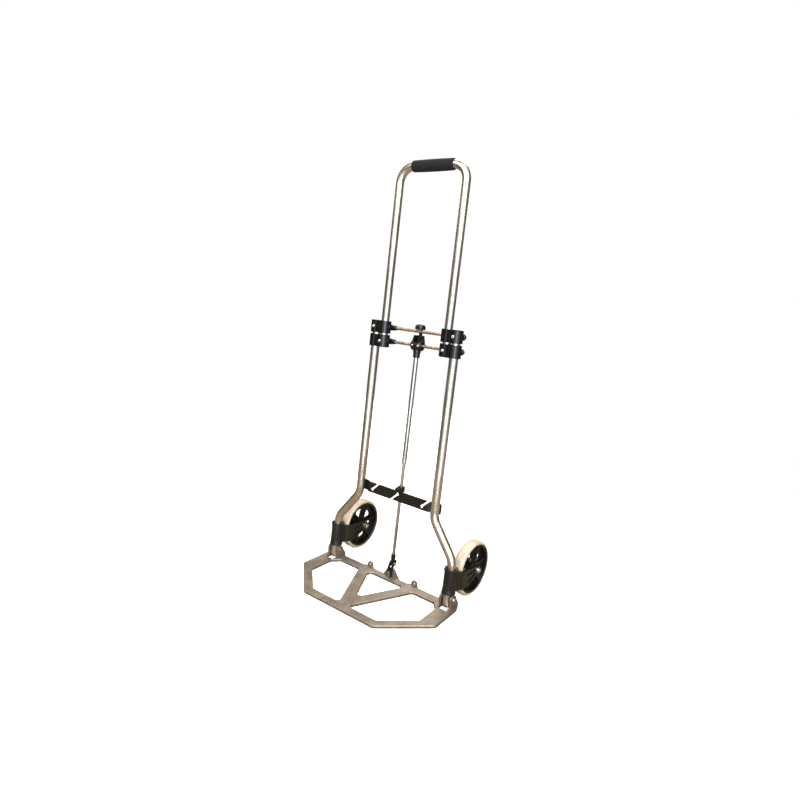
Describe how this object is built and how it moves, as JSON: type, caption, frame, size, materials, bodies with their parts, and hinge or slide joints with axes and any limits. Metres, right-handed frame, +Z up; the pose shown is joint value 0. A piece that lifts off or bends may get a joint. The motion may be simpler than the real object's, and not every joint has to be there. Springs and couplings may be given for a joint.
{
  "type": "folding luggage cart",
  "caption": "Folding luggage cart with a telescoping U handle, splayed tube frame, hinged openwork toe plate and wheels on swing-in forks.",
  "frame": {"origin": "on the floor under the middle of the cart's outline, standing open", "axes": "+Z up, +Y back towards the wheels, +X to the right as seen facing the toe plate"},
  "size_m": [0.4356, 0.3566, 1.0528],
  "materials": {
    "clear_anodised_tube": "drawn tube, clear anodised, satin",
    "rod_steel": "drawn rod, satin",
    "cast_aluminium": "matte die casting",
    "cream_tyre": "smooth cream rubber",
    "grip_foam": "matte closed-cell foam",
    "bright_steel": "zinc plated",
    "white_nylon": "natural nylon",
    "black_strap": "moulded, satin",
    "black_nylon": "moulded glass-filled nylon, satin"
  },
  "bodies": {
    "frame": {"frame_tube_left": "clear_anodised_tube", "frame_tube_right": "clear_anodised_tube", "foot_plug_left": "black_nylon", "foot_plug_right": "black_nylon", "hinge_pins": "bright_steel", "fork_washers": "white_nylon", "crossbar": "black_strap", "crossbar_screws": "bright_steel", "rod_guide": "black_nylon", "upper_block_left": "black_nylon", "upper_block_right": "black_nylon", "upper_block_screws": "bright_steel", "upper_liner_left": "white_nylon", "upper_liner_right": "white_nylon", "upper_cross_rod": "rod_steel", "upper_cap_nuts": "black_nylon"},
    "handle": {"handle_tube": "clear_anodised_tube", "grip": "grip_foam", "lower_block_left": "black_nylon", "lower_block_right": "black_nylon", "lower_block_screws": "bright_steel", "lower_liner_left": "white_nylon", "lower_liner_right": "white_nylon", "lower_cross_rod": "rod_steel", "lower_cap_nuts": "black_nylon", "latch_body": "black_nylon", "latch_screws": "bright_steel", "tube_collar": "black_nylon", "centre_tube": "clear_anodised_tube", "latch_pin": "bright_steel", "latch_spring": "bright_steel"},
    "latch": {"latch_hook": "black_nylon", "latch_cap": "black_nylon"},
    "toe_plate": {"toe_plate": "cast_aluminium", "rod_bracket": "black_nylon", "bracket_rivets": "bright_steel", "pivot_pin": "bright_steel"},
    "push_rod": {"push_rod": "rod_steel", "rod_eye": "black_nylon"},
    "fork_left": {"wheel_fork_left": "black_nylon", "cam_stud_left": "black_nylon", "axle_washers_left": "bright_steel", "axle_bolt_left": "bright_steel", "axle_nut_left": "bright_steel"},
    "wheel_left": {"wheel_hub_left": "black_nylon", "tyre_left": "cream_tyre", "wheel_bushes_left": "white_nylon"},
    "fork_right": {"wheel_fork_right": "black_nylon", "cam_stud_right": "black_nylon", "axle_washers_right": "bright_steel", "axle_bolt_right": "bright_steel", "axle_nut_right": "bright_steel"},
    "wheel_right": {"wheel_hub_right": "black_nylon", "tyre_right": "cream_tyre", "wheel_bushes_right": "white_nylon"}
  },
  "joints": [
    {"name": "handle_slide", "type": "slide", "parent": "frame", "child": "handle", "axis": [0, 0.0958, 0.9954], "range_m": [-0.24, 0]},
    {"name": "toe_plate_fold", "type": "hinge", "parent": "frame", "child": "toe_plate", "pos_m": [0, 0.01167, 0.026], "axis": [-1, 0, 0], "range_deg": [0, 90]},
    {"name": "fork_right_swing", "type": "hinge", "parent": "frame", "child": "fork_right", "pos_m": [0.188, 0.01167, 0.026], "axis": [0, 0.0958, 0.9954], "range_deg": [0, 90]},
    {"name": "fork_left_swing", "type": "hinge", "parent": "frame", "child": "fork_left", "pos_m": [-0.188, 0.01167, 0.026], "axis": [0, 0.0958, 0.9954], "range_deg": [-90, 0]},
    {"name": "push_rod_slide", "type": "slide", "parent": "frame", "child": "push_rod", "axis": [0, 0.0958, 0.9954], "range_m": [-0.035, 0]},
    {"name": "latch_swing", "type": "hinge", "parent": "handle", "child": "latch", "pos_m": [0, 0.0922, 0.62755], "axis": [-1, 0, 0], "range_deg": [0, 24], "stiffness_Nm_per_rad": 0.12, "springref_deg": -28.65},
    {"name": "wheel_right_spin", "type": "hinge", "parent": "fork_right", "child": "wheel_right", "pos_m": [0.188, 0.10833, 0.07], "axis": [1, 0, 0], "continuous": true},
    {"name": "wheel_left_spin", "type": "hinge", "parent": "fork_left", "child": "wheel_left", "pos_m": [-0.188, 0.10833, 0.07], "axis": [1, 0, 0], "continuous": true}
  ],
  "couplings": [
    {"joint": "fork_right_swing", "follows": "toe_plate_fold", "ratio": 1},
    {"joint": "fork_left_swing", "follows": "toe_plate_fold", "ratio": -1},
    {"joint": "push_rod_slide", "follows": "toe_plate_fold", "m_per_rad": -0.022282}
  ]
}
